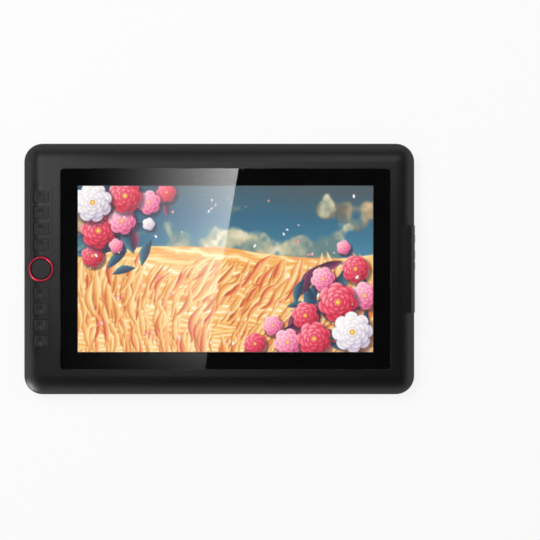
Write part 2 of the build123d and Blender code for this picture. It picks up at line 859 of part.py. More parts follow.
def digitizer_cable():
    return folded_cable(digitizer_cable_share, digitizer_cable_width, 1,
                        tray_width / 2 - digitizer_inset, digitizer_bottom + digitizer_thickness / 2)


def straight_cable(near, far):
    """A flat cable along X between two boards' connectors."""
    return block((near + far) / 2, board_cable_y, far - near, board_cable_width, cable_bottom, cable_top)


def key_board_cable():
    return straight_cable(key_board_right - cable_grip,
                          board_x - main_board_length / 2 + cable_grip)


def port_board_cable():
    return straight_cable(board_x + main_board_length / 2 - cable_grip, port_board_inner + cable_grip)


def board_connectors():
    """One slotted connector for each end of each cable that meets a board."""
    half = main_board_length / 2
    depth = connector_depth
    wide = board_cable_width + 2 * connector_margin
    row = [(key_board_right - depth / 2, board_cable_y, depth, wide),
           (board_x - half + depth / 2, board_cable_y, depth, wide),
           (board_x + half - depth / 2, board_cable_y, depth, wide),
           (port_board_inner + depth / 2, board_cable_y, depth, wide)]
    for share, width, end in ((display_cable_share, display_cable_width, -1),
                              (digitizer_cable_share, digitizer_cable_width, 1)):
        row.append((board_x + share * main_board_length, end * (main_board_width - depth) / 2,
                    width + 2 * connector_margin, depth))
    slots = slot_block(key_board_cable) + slot_block(port_board_cable)
    slots += slot_block(display_cable) + slot_block(digitizer_cable)
    return [block(*place, board_top, board_top + connector_height) - slots for place in row]


def slot_block(cable):
    """The room that a cable takes in a connector, with its clearance."""
    box = cable().bounding_box()
    centre = box.center()
    grow = 2 * connector_slot_clearance
    return block(centre.X, centre.Y, box.size.X + grow, box.size.Y + grow,
                 cable_bottom - connector_slot_clearance, cable_top + connector_slot_clearance)


# Key module

def key_surround():
    """The trim plate that follows the case's rolled edge, with a window for each key and the dial."""
    skin = key_side_form(0, well_bottom) - key_side_form(surround_thickness, well_bottom - overrun)
    body = slab(surround_outline(0), well_bottom, case_top) & skin
    for y in key_places:
        body -= slab(Pos(key_x, y) * key_outline(key_gap), well_bottom, case_top + overrun)
    dial_hole = dial_ring_outer_diameter + 2 * dial_hole_clearance
    body -= post(key_x, 0, dial_hole, well_bottom, case_top + overrun)
    peg_foot = well_bottom - peg_head_height
    for y in peg_places():
        body += post(key_x, y, peg_diameter, peg_foot, case_top - surround_thickness / 2)
        body += post(key_x, y, peg_head_diameter, peg_foot, well_bottom)
    return body


def dish(y):
    """The ball that hollows a key's top."""
    rim = key_dish_diameter / 2
    ball = (rim ** 2 + key_dish_depth ** 2) / (2 * key_dish_depth)
    return Pos(key_x, y, case_top + key_proud - key_dish_depth + ball) * Sphere(ball)


def key_cap(number, y, outer, flange_top):
    """A key: dished cap, hollow below, on a flange that stops it under the surround."""
    stem_bottom = board_top + switch_height + plunger_reach
    flange_bottom = stem_bottom + key_stem_reach
    cap = slab(Pos(key_x, y) * key_outline(0), flange_bottom, case_top + overrun) & outer
    cap -= dish(y)
    flange = slab(Pos(key_x, y) * key_outline(key_flange_reach), flange_bottom, case_top) & flange_top
    cap += flange
    roof = case_top - surround_thickness - key_roof / 2
    hollow = slab(Pos(key_x, y) * key_outline(-key_wall), flange_bottom - overrun, roof)
    hollow -= post(key_x, y, key_stem_diameter, flange_bottom - overrun, roof)
    cap -= hollow
    cap += post(key_x, y, key_stem_diameter, stem_bottom, roof)
    if number in dotted_keys:
        cap += key_dot(y)
    return cap


def key_dot(y):
    """The raised dot that a finger finds in the middle of some keys."""
    low = case_top + key_proud - key_dish_depth - key_dot_height
    dot = post(key_x, y, key_dot_diameter, low, low + 2 * key_dot_height)
    return fillet(dot.faces().sort_by(Axis.Z)[-1].edges(), key_dot_height * key_dot_round_share)


def switch_housings():
    """The square housings of the key switches, each bored for its plunger."""
    housings = []
    for y in key_places:
        housing = block(key_x, y, switch_size, switch_size, board_top, board_top + switch_height)
        housing = chamfer(housing.faces().sort_by(Axis.Z)[-1].edges(), switch_bevel)
        bore_bottom = board_top + switch_height - plunger_depth - key_travel - plunger_spare
        housing -= post(key_x, y, plunger_diameter + 2 * plunger_clearance, bore_bottom,
                        board_top + switch_height + overrun)
        housings.append(housing)
    return housings


def key_plunger(y):
    """A key switch's plunger, which the key's stem stands on."""
    top = board_top + switch_height + plunger_reach
    return post(key_x, y, plunger_diameter, top - plunger_reach - plunger_depth, top)


# Dial

dial_base_bottom = board_top + encoder_height + dial_hub_gap + dial_hub_height
dial_base_top = dial_base_bottom + dial_base_thickness


def dial_ring():
    """The turned metal ring round the dial, with a full round on its top."""
    outer = dial_ring_outer_diameter / 2
    inner = dial_ring_inner_diameter / 2
    top = case_top + dial_ring_proud
    middle = Pos((outer + inner) / 2, (top + dial_base_top) / 2)
    section = middle * Rectangle(dial_ring_width, top - dial_base_top)
    upper = section.vertices().group_by(Axis.Y)[-1]
    section = fillet(upper, dial_ring_round)
    return Pos(key_x, 0, 0) * revolve(Plane.XZ * section, Axis.Z)


def dial_wheel():
    """The dial's wheel: flat centre disc, base plate under the ring, and hub."""
    disc_radius = dial_ring_inner_diameter / 2 - dial_disc_clearance
    wheel = post(0, 0, 2 * disc_radius, dial_base_bottom, case_top)
    wheel = chamfer(wheel.faces().sort_by(Axis.Z)[-1].edges(), dial_disc_bevel)
    wheel += post(0, 0, dial_base_diameter, dial_base_bottom, dial_base_top)
    wheel += post(0, 0, dial_hub_diameter, dial_base_bottom - dial_hub_height, dial_base_bottom)
    wheel -= dial_shaft_form(thread_clearance, dial_base_bottom - dial_hub_height - overrun)
    return Pos(key_x, 0, 0) * wheel


def dial_shaft_form(grow, low):
    """The encoder shaft's form, with its flat, drawn out by grow."""
    radius = dial_shaft_diameter / 2 + grow
    high = dial_base_bottom + dial_shaft_rise + grow
    shaft = post(0, 0, 2 * radius, low, high)
    return shaft - block(radius + dial_shaft_diameter / 2 - dial_shaft_flat + 2 * grow, 0, 2 * radius,
                         2 * dial_shaft_diameter, dial_base_bottom - dial_hub_height - grow, high)


def dial_shaft():
    """The encoder's shaft: round in its bearing, with a flat for the hub."""
    low = board_top + encoder_height - dial_shaft_depth
    return Pos(key_x, 0, 0) * dial_shaft_form(0, low)


def encoder_body():
    """The rotary encoder's housing, bored for its shaft."""
    top = board_top + encoder_height
    body = block(key_x, 0, encoder_size, encoder_size, board_top, top)
    body = chamfer(body.edges().filter_by(Axis.Z), encoder_bevel)
    return body - post(key_x, 0, dial_shaft_diameter + 2 * running_clearance,
                       top - dial_shaft_depth - running_clearance, top + overrun)


# Port side

def port_cover():
    """The raised cover over the ports: rounded shell, hook under the front cover, apertures."""
    shell = port_cover_envelope(0)
    foot = shell.edges().filter_by(Axis.Y).group_by(Axis.Z)[0].sort_by(Axis.X)[-1]
    shell = fillet(foot, port_cover_foot_radius) - port_cover_envelope(port_cover_wall)
    hook_top = case_top - front_wall - hook_drop
    hook_length = 2 * (port_cover_half_length - hook_end_margin)
    shell += block(port_cover_inner + port_cover_wall / 2, 0, port_cover_wall, hook_length,
                   hook_top - hook_thickness, case_top - port_cover_wall / 2)
    shell += block(port_cover_inner + (port_cover_wall - hook_reach) / 2, 0, port_cover_wall + hook_reach,
                   hook_length, hook_top - hook_thickness, hook_top)
    near = port_cover_outer - port_cover_wall - overrun
    far = port_cover_outer + overrun
    grow = 2 * usb_aperture_clearance
    shell -= side_slab(SlotOverall(usb_width + grow, usb_height + grow), usb_offset, side_level, near, far)
    grow = 2 * side_key_gap
    for y in side_key_offsets:
        slot = SlotOverall(side_key_length + grow, side_key_height + grow)
        shell -= side_slab(slot, y, side_level, near, far)
    pipe_hole = Circle(light_pipe_diameter / 2 + light_pipe_clearance)
    return shell - side_slab(pipe_hole, light_pipe_offset, side_level, near, far)


def side_key(y):
    """A side key: a rounded bar on a flange that stops it behind the port cover."""
    far = port_cover_outer + side_key_proud
    outline = SlotOverall(side_key_length, side_key_height)
    bar = side_slab(outline, y, side_level, side_key_flange_face, far)
    bar = fillet(bar.faces().sort_by(Axis.X)[-1].edges(), side_key_edge_radius)
    flange = SlotOverall(side_key_length + 2 * side_key_flange, side_key_height + 2 * side_key_flange)
    return bar + side_slab(flange, y, side_level, side_key_flange_back, side_key_flange_face)


def side_plunger(y):
    """A side switch's plunger, which the side key's flange bears on."""
    return side_slab(Circle(side_plunger_diameter / 2), y, side_level,
                     side_switch_face - side_plunger_depth, side_switch_face + side_plunger_reach)


def side_switch_housings():
    """The side switches' housings on the port board, each bored for its plunger."""
    housings = []
    for y in side_key_offsets:
        housing = block(side_switch_face - side_switch_depth / 2, y, side_switch_depth, side_switch_width,
                        board_top, board_top + switch_height)
        bore = Circle(side_plunger_diameter / 2 + plunger_clearance)
        housing -= side_slab(bore, y, side_level,
                             side_switch_face - side_plunger_depth - side_key_travel - plunger_spare,
                             side_switch_face + overrun)
        housings.append(housing)
    return housings


def usb_c_shell():
    """The socket's drawn steel shell, open to the outside and closed behind."""
    far = port_cover_outer - usb_set_back
    near = far - usb_depth
    shell = side_slab(SlotOverall(usb_width, usb_height), usb_offset, side_level, near, far)
    inside = SlotOverall(usb_width - 2 * usb_wall, usb_height - 2 * usb_wall)
    return shell - side_slab(inside, usb_offset, side_level, near + usb_wall, far + overrun)


def usb_c_tongue():
    """The socket's contact tongue, on the block that fills the back of the shell."""
    near = port_cover_outer - usb_set_back - usb_depth + usb_wall
    inside = SlotOverall(usb_width - 2 * usb_wall, usb_height - 2 * usb_wall)
    far = near + usb_block_depth
    body = side_slab(inside, usb_offset, side_level, near, far)
    tongue = Rectangle(usb_tongue_width, usb_tongue_thickness)
    return body + side_slab(tongue, usb_offset, side_level, near, far + usb_tongue_length)


def status_light_pipe():
    """The clear rod that brings the status light to the port cover's face."""
    return side_slab(Circle(light_pipe_diameter / 2), light_pipe_offset, side_level,
                     port_cover_outer - light_pipe_length, port_cover_outer)


# Files

write("front_cover", front_cover())
write("rear_cover", rear_cover())
write("rubber_feet", *rubber_feet())
write("cover_screws", *cover_screws())

write("cover_glass", cover_glass())
write("glass_adhesive", glass_adhesive())
write("lcd_panel", lcd_panel())
write("diffuser_sheets", sheet_stack(diffuser_bottom, lcd_bottom, 0))
lamp_room = lamp_bar_width + lamp_depth + seat_gap
write("light_guide", sheet_stack(light_guide_bottom, diffuser_bottom, lamp_room))
write("reflector_sheet", sheet_stack(reflector_bottom, light_guide_bottom, 0))
write("backlight_tray", backlight_tray())
write("backlight_lamp_bar", lamp_bar())
write("digitizer_board", digitizer_board())
write("shield_plate", shield_plate())
write("chassis_plate", chassis_plate())
write("chassis_screws", *chassis_screws())

write("main_board", main_board())
write("main_board_chips", *main_board_chips())
write("shield_can", shield_can())
write("key_board", key_board())
write("port_board", port_board())
write("board_screws", *board_screws())
write("board_connectors", *board_connectors())
write("display_cable", display_cable())
write("digitizer_cable", digitizer_cable())
write("key_board_cable", key_board_cable())
write("port_board_cable", port_board_cable())

write("key_surround", key_surround())
write("key_switch_housings", *switch_housings())
key_outer = key_side_form(-key_proud, well_bottom)
key_stop = key_side_form(surround_thickness + key_flange_gap, well_bottom)
for key_number, key_y in enumerate(key_places, 1):
    write(f"key_{key_number}", key_cap(key_number, key_y, key_outer, key_stop))
    write(f"key_{key_number}_plunger", key_plunger(key_y))

write("dial_ring", dial_ring())
write("dial_wheel", dial_wheel())
write("dial_shaft", dial_shaft())
write("dial_encoder_body", encoder_body())

write("port_cover", port_cover())
write("usb_c_shell", usb_c_shell())
write("usb_c_tongue", usb_c_tongue())
write("status_light_pipe", status_light_pipe())
write("side_switch_housings", *side_switch_housings())
for side_name, side_y in zip(side_key_names, side_key_offsets):
    write(f"{side_name}_key", side_key(side_y))
    write(f"{side_name}_plunger", side_plunger(side_y))
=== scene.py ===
import json
import math

import bmesh
import bpy
import numpy as np
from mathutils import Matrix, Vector


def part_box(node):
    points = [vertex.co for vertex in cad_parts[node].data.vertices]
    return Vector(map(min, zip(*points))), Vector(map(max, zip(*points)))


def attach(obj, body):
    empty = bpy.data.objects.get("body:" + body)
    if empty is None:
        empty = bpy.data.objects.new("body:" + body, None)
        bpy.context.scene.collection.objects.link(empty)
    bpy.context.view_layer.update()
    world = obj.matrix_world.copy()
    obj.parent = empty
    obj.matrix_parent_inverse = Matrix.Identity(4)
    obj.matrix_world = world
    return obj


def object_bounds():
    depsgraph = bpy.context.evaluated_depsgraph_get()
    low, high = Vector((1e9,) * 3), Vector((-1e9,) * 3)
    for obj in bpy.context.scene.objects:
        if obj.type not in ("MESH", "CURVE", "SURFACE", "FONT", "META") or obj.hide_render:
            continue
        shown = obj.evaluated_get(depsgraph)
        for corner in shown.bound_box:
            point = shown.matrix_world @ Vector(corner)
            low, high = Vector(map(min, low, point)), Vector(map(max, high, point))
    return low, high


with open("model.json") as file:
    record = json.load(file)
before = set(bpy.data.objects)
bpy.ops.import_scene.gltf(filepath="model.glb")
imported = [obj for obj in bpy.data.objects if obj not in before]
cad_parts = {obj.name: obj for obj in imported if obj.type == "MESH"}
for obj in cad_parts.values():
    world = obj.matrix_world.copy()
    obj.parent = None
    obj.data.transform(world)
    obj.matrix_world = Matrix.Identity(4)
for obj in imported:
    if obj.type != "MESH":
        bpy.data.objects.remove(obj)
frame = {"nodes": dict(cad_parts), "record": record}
cad_low, cad_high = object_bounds()

mm = 0.001
glass_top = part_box("cover_glass")[1].z
middle = (cad_low + cad_high) / 2


# Colours and shader nodes

def srgb(code):
    """A written sRGB hex colour as linear red, green, blue and alpha."""
    values = [int(code[place:place + 2], 16) / 255 for place in (1, 3, 5)]
    linear = [v / 12.92 if v <= 0.04045 else ((v + 0.055) / 1.055) ** 2.4 for v in values]
    return (*linear, 1.0)


def add(tree, kind, inputs=None, **settings):
    """One shader node with its settings, its values and its links."""
    node = tree.nodes.new("ShaderNode" + kind)
    for name, value in settings.items():
        setattr(node, name, value)
    for name, value in (inputs or {}).items():
        socket = node.inputs[name]
        if isinstance(value, bpy.types.NodeSocket):
            tree.links.new(value, socket)
        else:
            socket.default_value = value
    return node


def calc(tree, kind, *values):
    """One step of arithmetic."""
    return add(tree, "Math", dict(enumerate(values)), operation=kind).outputs["Value"]


def vector_calc(tree, kind, *values):
    """One step of vector arithmetic; a length comes out as a value."""
    node = add(tree, "VectorMath", dict(enumerate(values)), operation=kind)
    return node.outputs["Value" if kind == "LENGTH" else "Vector"]


def new_material(name):
    """An empty node material and its node tree."""
    material = bpy.data.materials.new(name)
    material.use_nodes = True
    material.node_tree.nodes.clear()
    return material, material.node_tree


def finish_surface(tree, shader):
    """Joins a shader to the material's output."""
    add(tree, "OutputMaterial", {"Surface": shader})


def solid_surface(tree, inputs):
    """Ends a material with one principled shader."""
    finish_surface(tree, add(tree, "BsdfPrincipled", inputs).outputs["BSDF"])


def glow(tree, strength, colour=(1, 1, 1, 1)):
    """Light given off by a surface, white if nothing else is said."""
    return add(tree, "Emission", {"Color": colour, "Strength": strength}).outputs["Emission"]


def here(tree):
    """Object coordinates in metres."""
    return add(tree, "TexCoord").outputs["Object"]


def place(tree, size):
    """Object coordinates scaled so that one unit is the given size in metres."""
    scale = (1 / size, 1 / size, 1 / size)
    return add(tree, "Mapping", {"Vector": here(tree), "Scale": scale}).outputs["Vector"]


def noise(tree, vector, detail, roughness=0.5):
    """Soft noise of 0 to 1 with lumps of one unit."""
    inputs = {"Vector": vector, "Scale": 1.0, "Detail": detail, "Roughness": roughness}
    return add(tree, "TexNoise", inputs).outputs["Fac"]


def relief(tree, height, strength, depth):
    """The bumped normal of a 0 to 1 pattern that stands depth metres high."""
    inputs = {"Height": height, "Strength": strength, "Distance": depth}
    return add(tree, "Bump", inputs).outputs["Normal"]


def ramp(tree, factor, stops):
    """A colour ramp through written hex colours."""
    node = add(tree, "ValToRGB", {"Fac": factor})
    band = node.color_ramp
    while len(band.elements) < len(stops):
        band.elements.new(0.5)
    for element, (position, code) in zip(band.elements, stops):
        element.position = position
        element.color = srgb(code)
    return node.outputs["Color"]


def spread(tree, value, low, high, start=0.0, stop=1.0):
    """Maps the range from start to stop onto low to high, and holds it at both ends."""
    inputs = {"Value": value, "From Min": start, "From Max": stop, "To Min": low, "To Max": high}
    return add(tree, "MapRange", inputs).outputs["Result"]


# Materials

def moulded_plastic(name, dark, light, grain, depth, rough_low, rough_high, patch=35 * mm):
    """Plastic from a spark-eroded mould: an even fine grain that softens highlights, with slow
    drifts of gloss where hands and packing have touched it."""
    material, tree = new_material(name)
    drift = noise(tree, place(tree, patch), 4.0, 0.6)
    fine = noise(tree, place(tree, grain), 3.0, 0.65)
    solid_surface(tree, {
        "Base Color": ramp(tree, drift, ((0.3, dark), (0.7, light))),
        "Roughness": spread(tree, drift, rough_low, rough_high),
        "IOR": 1.54, "Normal": relief(tree, fine, 1.0, depth)})
    return material


def anodised_red():
    """Turned aluminium, anodised red, with faint turning lines, satin along the crest. Its colour
    holds a painted highlight, pale along the crest, and painted shade, deeper towards both rims."""
    material, tree = new_material("anodised_red_aluminium")
    low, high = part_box("dial_ring")
    centre = (low + high) / 2
    ring_width = 3.0 * mm
    line_spacing = 0.25 * mm
    crest = (high.x - low.x) / 2 - ring_width / 2
    away = vector_calc(tree, "SUBTRACT", here(tree), (centre.x, centre.y, 0))
    radius = vector_calc(tree, "LENGTH", vector_calc(tree, "MULTIPLY", away, (1, 1, 0)))
    turned = {"W": calc(tree, "MULTIPLY", radius, 1 / line_spacing), "Scale": 1.0, "Detail": 2.0}
    lines = add(tree, "TexNoise", turned, noise_dimensions="1D").outputs["Fac"]
    from_crest = calc(tree, "ABSOLUTE", calc(tree, "SUBTRACT", radius, crest))
    rim = spread(tree, from_crest, 0.0, 1.0, 0.0, ring_width / 2)
    # Painted highlight along the crest and painted shade towards both rims: the base colour follows
    # the distance from the crest, with the turning lines mixed in
    rim_shade_and_lines = calc(tree, "MULTIPLY_ADD", lines, 0.12, rim)
    crest_light_and_rim_shade = ((0.1, "#cc3c5a"), (0.45, "#a01230"), (0.75, "#5e0216"), (1.0, "#34000e"))
    solid_surface(tree, {
        "Base Color": ramp(tree, rim_shade_and_lines, crest_light_and_rim_shade), "Metallic": 1.0,
        "Roughness": spread(tree, rim, 0.32, 0.20), "Normal": relief(tree, lines, 0.5, 0.01 * mm),
        "Coat Weight": 0.45, "Coat Roughness": 0.10})
    return material


def float_glass():
    """Toughened cover glass, polished, with a trace of fingerprints in its gloss."""
    material, tree = new_material("toughened_float_glass")
    smear = noise(tree, place(tree, 28 * mm), 5.0, 0.7)
    solid_surface(tree, {"Base Color": (1, 1, 1, 1), "Roughness": spread(tree, smear, 0.0, 0.03),
                         "IOR": 1.5, "Transmission Weight": 1.0})
    return material


def printed_border():
    """Black ceramic ink fired on the back of the glass: dead black and even."""
    material, tree = new_material("black_ceramic_ink")
    speck = noise(tree, place(tree, 1.5 * mm), 2.0)
    solid_surface(tree, {"Base Color": ramp(tree, speck, ((0.3, "#0c0c0d"), (0.7, "#101011"))),
                         "Roughness": 1.0, "Specular IOR Level": 0.0})
    return material


def lit_picture():
    """The lit panel: each dot gives off the colour that the picture has there."""
    brightness = 1.06
    material, tree = new_material("lit_panel_picture")
    colour = add(tree, "VertexColor", layer_name="picture").outputs["Color"]
    finish_surface(tree, glow(tree, brightness, colour))
    return material


def pressed_metal(name, dark, light, rough_low, rough_high, grain=0.8 * mm):
    """Rolled sheet metal, pressed to shape: long faint rolling lines and uneven gloss."""
    material, tree = new_material(name)
    along_rolling = {"Vector": here(tree), "Scale": (0.05 / grain, 1 / grain, 1 / grain)}
    lines = noise(tree, add(tree, "Mapping", along_rolling).outputs["Vector"], 4.0, 0.7)
    solid_surface(tree, {
        "Base Color": ramp(tree, lines, ((0.25, dark), (0.75, light))), "Metallic": 1.0,
        "Roughness": spread(tree, lines, rough_low, rough_high),
        "Normal": relief(tree, lines, 0.6, 0.02 * mm)})
    return material


def moulded_rubber():
    """Black rubber feet: matt, a little dusty, with a pebbled mould finish."""
    material, tree = new_material("moulded_rubber")
    pebbles = {"Vector": place(tree, 0.9 * mm), "Scale": 1.0}
    pebble = add(tree, "TexVoronoi", pebbles).outputs["Distance"]
    dust = noise(tree, place(tree, 9 * mm), 5.0)
    solid_surface(tree, {
        "Base Color": ramp(tree, dust, ((0.35, "#1b1b1d"), (0.75, "#2c2b2a"))),
        "Roughness": spread(tree, dust, 0.72, 0.9), "IOR": 1.52,
        "Normal": relief(tree, pebble, 0.8, 0.06 * mm)})
    return material


def solder_mask():
    """Circuit board: green solder mask over copper, whose tracks show as slightly paler lines."""
    material, tree = new_material("solder_mask_board")
    tracks = add(tree, "TexBrick", {
        "Vector": place(tree, 6 * mm), "Color1": srgb("#0f5a33"), "Color2": srgb("#0c4a2b"),
        "Mortar": srgb("#1c7a48"), "Scale": 1.0, "Mortar Size": 0.03, "Brick Width": 0.9,
        "Row Height": 0.35})
    solid_surface(tree, {"Base Color": tracks.outputs["Color"], "Roughness": 0.32, "IOR": 1.55,
                         "Coat Weight": 0.3, "Coat Roughness": 0.15})
    return material


def clear_acrylic():
    """Clear cast acrylic, with faint flow lines."""
    material, tree = new_material("clear_acrylic")
    flow = noise(tree, place(tree, 4 * mm), 2.0)
    solid_surface(tree, {"Base Color": srgb("#f4f7f8"), "Roughness": spread(tree, flow, 0.04, 0.12),
                         "IOR": 1.49, "Transmission Weight": 0.9})
    return material


# Dressing the fixed nodes: each slot of the record with the finish of its real material

def dress(node, material):
    """Gives a node of the frame its material."""
    slots = frame["nodes"][node].data.materials
    slots.clear()
    slots.append(material)


# Both moulded shells and the port cover, matt black ABS
case_plastic = moulded_plastic("moulded_abs_case", "#090909", "#0b0b0c", 0.7 * mm, 0.006 * mm,
                               0.25, 0.28)
# The key surround, the same ABS with a slightly finer grain
surround_plastic = moulded_plastic("moulded_abs_surround", "#090909", "#0b0b0c", 0.6 * mm,
                                   0.005 * mm, 0.24, 0.27)
# All keys and the dial wheel, ABS with a duller face
key_plastic = moulded_plastic("moulded_abs_keys", "#0a0a0b", "#0d0d0e", 0.55 * mm, 0.003 * mm,
                              0.30, 0.35, patch=9 * mm)
# Housings of the switches and of the dial's encoder, black glass-filled nylon
switch_nylon = moulded_plastic("moulded_nylon", "#151517", "#1d1d20", 0.4 * mm, 0.010 * mm,
                               0.42, 0.55)
# Chip bodies, black epoxy, and the port's tongue, which looks alike
chip_epoxy = moulded_plastic("moulded_epoxy", "#161618", "#1e1e20", 0.3 * mm, 0.012 * mm,
                             0.5, 0.65)
# Board connectors, natural nylon
white_nylon = moulded_plastic("white_nylon", "#d8d2c4", "#e6e0d2", 0.5 * mm, 0.010 * mm,
                              0.4, 0.5)
# Switch plungers and the dial's shaft, natural acetal
acetal = moulded_plastic("white_acetal", "#cfcabb", "#dcd8ca", 0.5 * mm, 0.006 * mm, 0.3, 0.4)
# The tape frame that holds the glass, black foam
foam_tape = moulded_plastic("black_foam_tape", "#121213", "#1a1a1b", 0.5 * mm, 0.05 * mm,
                            0.85, 0.95)
# Diffuser and reflector sheets, white polyester film
white_film = moulded_plastic("white_polyester_film", "#e4e5e6", "#f0f1f2", 2 * mm, 0.004 * mm,
                             0.35, 0.5)
# Flat cables, bare polyester over copper
cable_film = moulded_plastic("polyester_flat_cable", "#c9bfa4", "#d8cfb6", 1.0 * mm, 0.006 * mm,
                             0.3, 0.42)
# The display cell's dark polariser
panel_back = moulded_plastic("polariser_film", "#101214", "#15181b", 3 * mm, 0.003 * mm,
                             0.25, 0.35)
# Screws, black zinc plating
black_screw = pressed_metal("black_zinc_screws", "#1d1d1f", "#303033", 0.3, 0.5, grain=0.3 * mm)
# Tray, shield plate and shield can, tin-plated steel
tin_plate = pressed_metal("tin_plated_steel", "#9da0a3", "#b9bcbf", 0.25, 0.42)
# The port's shell, nickel-plated steel
nickel_plate = pressed_metal("nickel_plated_steel", "#a9a7a2", "#c6c4be", 0.18, 0.32,
                             grain=0.4 * mm)
# The chassis plate, aluminium sheet
chassis_sheet = pressed_metal("aluminium_sheet", "#a9acb0", "#c4c7ca", 0.3, 0.48)
rubber = moulded_rubber()
board = solder_mask()
acrylic = clear_acrylic()
glass = float_glass()
red_ring = anodised_red()
ink = printed_border()

finish_of_slot = {
    "case_plastic": case_plastic, "key_plastic": key_plastic,
    "surround_plastic": surround_plastic, "red_metal": red_ring, "glass": glass,
    "display": panel_back, "adhesive": foam_tape, "sheet": white_film, "clear_plastic": acrylic,
    "steel": tin_plate, "chassis_alloy": chassis_sheet, "screw_steel": black_screw,
    "board": board, "chip": chip_epoxy, "connector": white_nylon, "flat_cable": cable_film,
    "switch_plastic": switch_nylon, "plunger_plastic": acetal, "foot_rubber": rubber,
    "socket_steel": nickel_plate}
for part in frame["record"]["subparts"]:
    dress(part["node"], finish_of_slot[part["material_slot"]])


# New pieces

def mesh_object(work, name, material):
    """Turns a bmesh into an object with its material."""
    mesh = bpy.data.meshes.new(name)
    work.to_mesh(mesh)
    work.free()
    made = bpy.data.objects.new(name, mesh)
    bpy.context.scene.collection.objects.link(made)
    mesh.materials.append(material)
    return made


def piece_from(work, name, material, body):
    """Turns a bmesh into a piece that rides on a body, with the material given."""
    made = mesh_object(work, name, material)
    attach(made, body)
    return made


def flat_sheet(work, centre, length, width, x_parts=1, y_parts=1):
    """A level grid of faces about a centre."""
    bmesh.ops.create_grid(work, x_segments=x_parts, y_segments=y_parts, size=0.5)
    bmesh.ops.scale(work, vec=(length, width, 1), verts=work.verts)
    bmesh.ops.translate(work, vec=centre, verts=work.verts)


def rounded_loop(work, centre, length, width, radius, level):
    """The edges of a closed rounded rectangle."""
    corners = ((1, 1), (-1, 1), (-1, -1), (1, -1))
    corner_steps = 8
    ring = []
    for quarter, (side, end) in enumerate(corners):
        heart = Vector((centre.x + side * (length / 2 - radius),
                        centre.y + end * (width / 2 - radius), level))
        for step in range(corner_steps + 1):
            turn = (quarter + step / corner_steps) * math.pi / 2
            spoke = Vector((math.cos(turn), math.sin(turn), 0))
            ring.append(work.verts.new(heart + radius * spoke))
    return [work.edges.new(pair) for pair in zip(ring, ring[1:] + ring[:1])]


# The picture on the lit panel: a made-up meadow of golden grass before a teal sky, with red,
# pink and white blossoms in two corners. It is painted by formulas, x and y in picture heights
# from the lower left corner, and each shade runs through a line of colours, mostly from dark
# to pale.

picture_length = 293.76 * mm
picture_width = 165.24 * mm
picture_ratio = picture_length / picture_width
dots_across = 416
dots_down = 234
samples = 2
picture_seed = 11
edge = 0.0035  # how softly a painted shape ends, in picture heights
grass_blades = 520
ridges = 12
leaves = 54
loose_petals = 70
# Where the leaves gather: a share of the length and a height
lower_bunch = (0.84, 0.24)
upper_bunch = (0.14, 0.80)

sky = ("#8d7f74", "#8fa09a", "#6c9aa2", "#3f7f9a", "#2b6480", "#46565c")
deep_sky = ("#6fb0b8", "#2f86ac", "#1b5f86", "#184a68")
straw = ("#7c3418", "#c4692c", "#ee9c48", "#fbc878", "#ffe8b0", "#fffbe6")
amber = ("#5e241c", "#a8461f", "#df7f38", "#f6b05a", "#ffdc94", "#fff3cc")
ember = ("#4a1420", "#9a2c24", "#d85a34", "#f08a48", "#ffc080", "#ffe6b8")
crimson = ("#3c0618", "#8a1030", "#cf1f3f", "#ee4a66", "#ffa2ac", "#ffe0dc")
pink = ("#6d1546", "#b8336e", "#ea6a97", "#ffa3bd", "#ffd9e2", "#ffffff")
white = ("#6a5a86", "#a99bb8", "#d9cfdd", "#f6efee", "#ffffff", "#ffffff")
night = ("#101a33", "#1c3350", "#2f5f78", "#6fa8a4")
plum = ("#1e0d22", "#43183e", "#7a2f55", "#c27a86")
pollen = ("#7a3a10", "#f0a020", "#ffe27a")
dusk = ("#260a22", "#260a22")

# Each cloud bank: its scale, its height, its deep and its pale colour
cloud_banks = ((0.42, 0.86, "#6e6a5c", "#d8b98c"), (0.30, 0.62, "#5f7f80", "#c9c2a0"),
               (0.22, 0.40, "#88a09a", "#f0dcb8"))
# Each row of hills: its height, its swing, its phase, its upper and its lower colour
hill_rows = ((0.40, 0.05, 0.4, "#5f9496", "#2f5f70"), (0.28, 0.06, 2.2, "#5a6f72", "#33424c"),
             (0.15, 0.05, 4.1, "#8a5a52", "#4a2a3a"))
# Each blossom: its share of the length, its height, its radius, its petals and its colours
blossoms = (
    (0.30, 0.96, 0.062, 6, crimson), (0.05, 0.58, 0.070, 6, crimson),
    (0.24, 0.90, 0.075, 6, pink), (0.07, 0.73, 0.110, 7, crimson),
    (0.15, 0.79, 0.085, 6, pink), (0.16, 0.94, 0.105, 7, crimson),
    (0.05, 0.90, 0.120, 8, white), (0.13, 0.64, 0.045, 5, pink),
    (0.24, 0.77, 0.040, 5, white), (0.94, 0.50, 0.085, 7, crimson),
    (0.83, 0.44, 0.075, 6, pink), (0.97, 0.34, 0.085, 6, pink),
    (0.88, 0.30, 0.120, 7, crimson), (0.77, 0.22, 0.085, 6, crimson),
    (0.66, 0.16, 0.062, 6, pink), (0.60, 0.05, 0.070, 7, crimson),
    (0.71, 0.06, 0.085, 6, pink), (0.80, 0.08, 0.105, 7, crimson),
    (0.93, 0.12, 0.125, 8, white), (0.90, 0.63, 0.045, 5, pink))


def smooth(value, low, high):
    """Eases from 0 at low to 1 at high."""
    share = np.clip((value - low) / (high - low), 0, 1)
    return share * share * (3 - 2 * share)


def colour_line(value, codes):
    """Runs a 0 to 1 field through evenly spaced hex colours."""
    colours = np.array([[int(code[at:at + 2], 16) / 255 for at in (1, 3, 5)] for code in codes])
    spot = np.clip(value, 0, 1) * (len(codes) - 1)
    low = np.minimum(spot.astype(int), len(codes) - 2)
    share = (spot - low)[..., None]
    return colours[low] * (1 - share) + colours[low + 1] * share


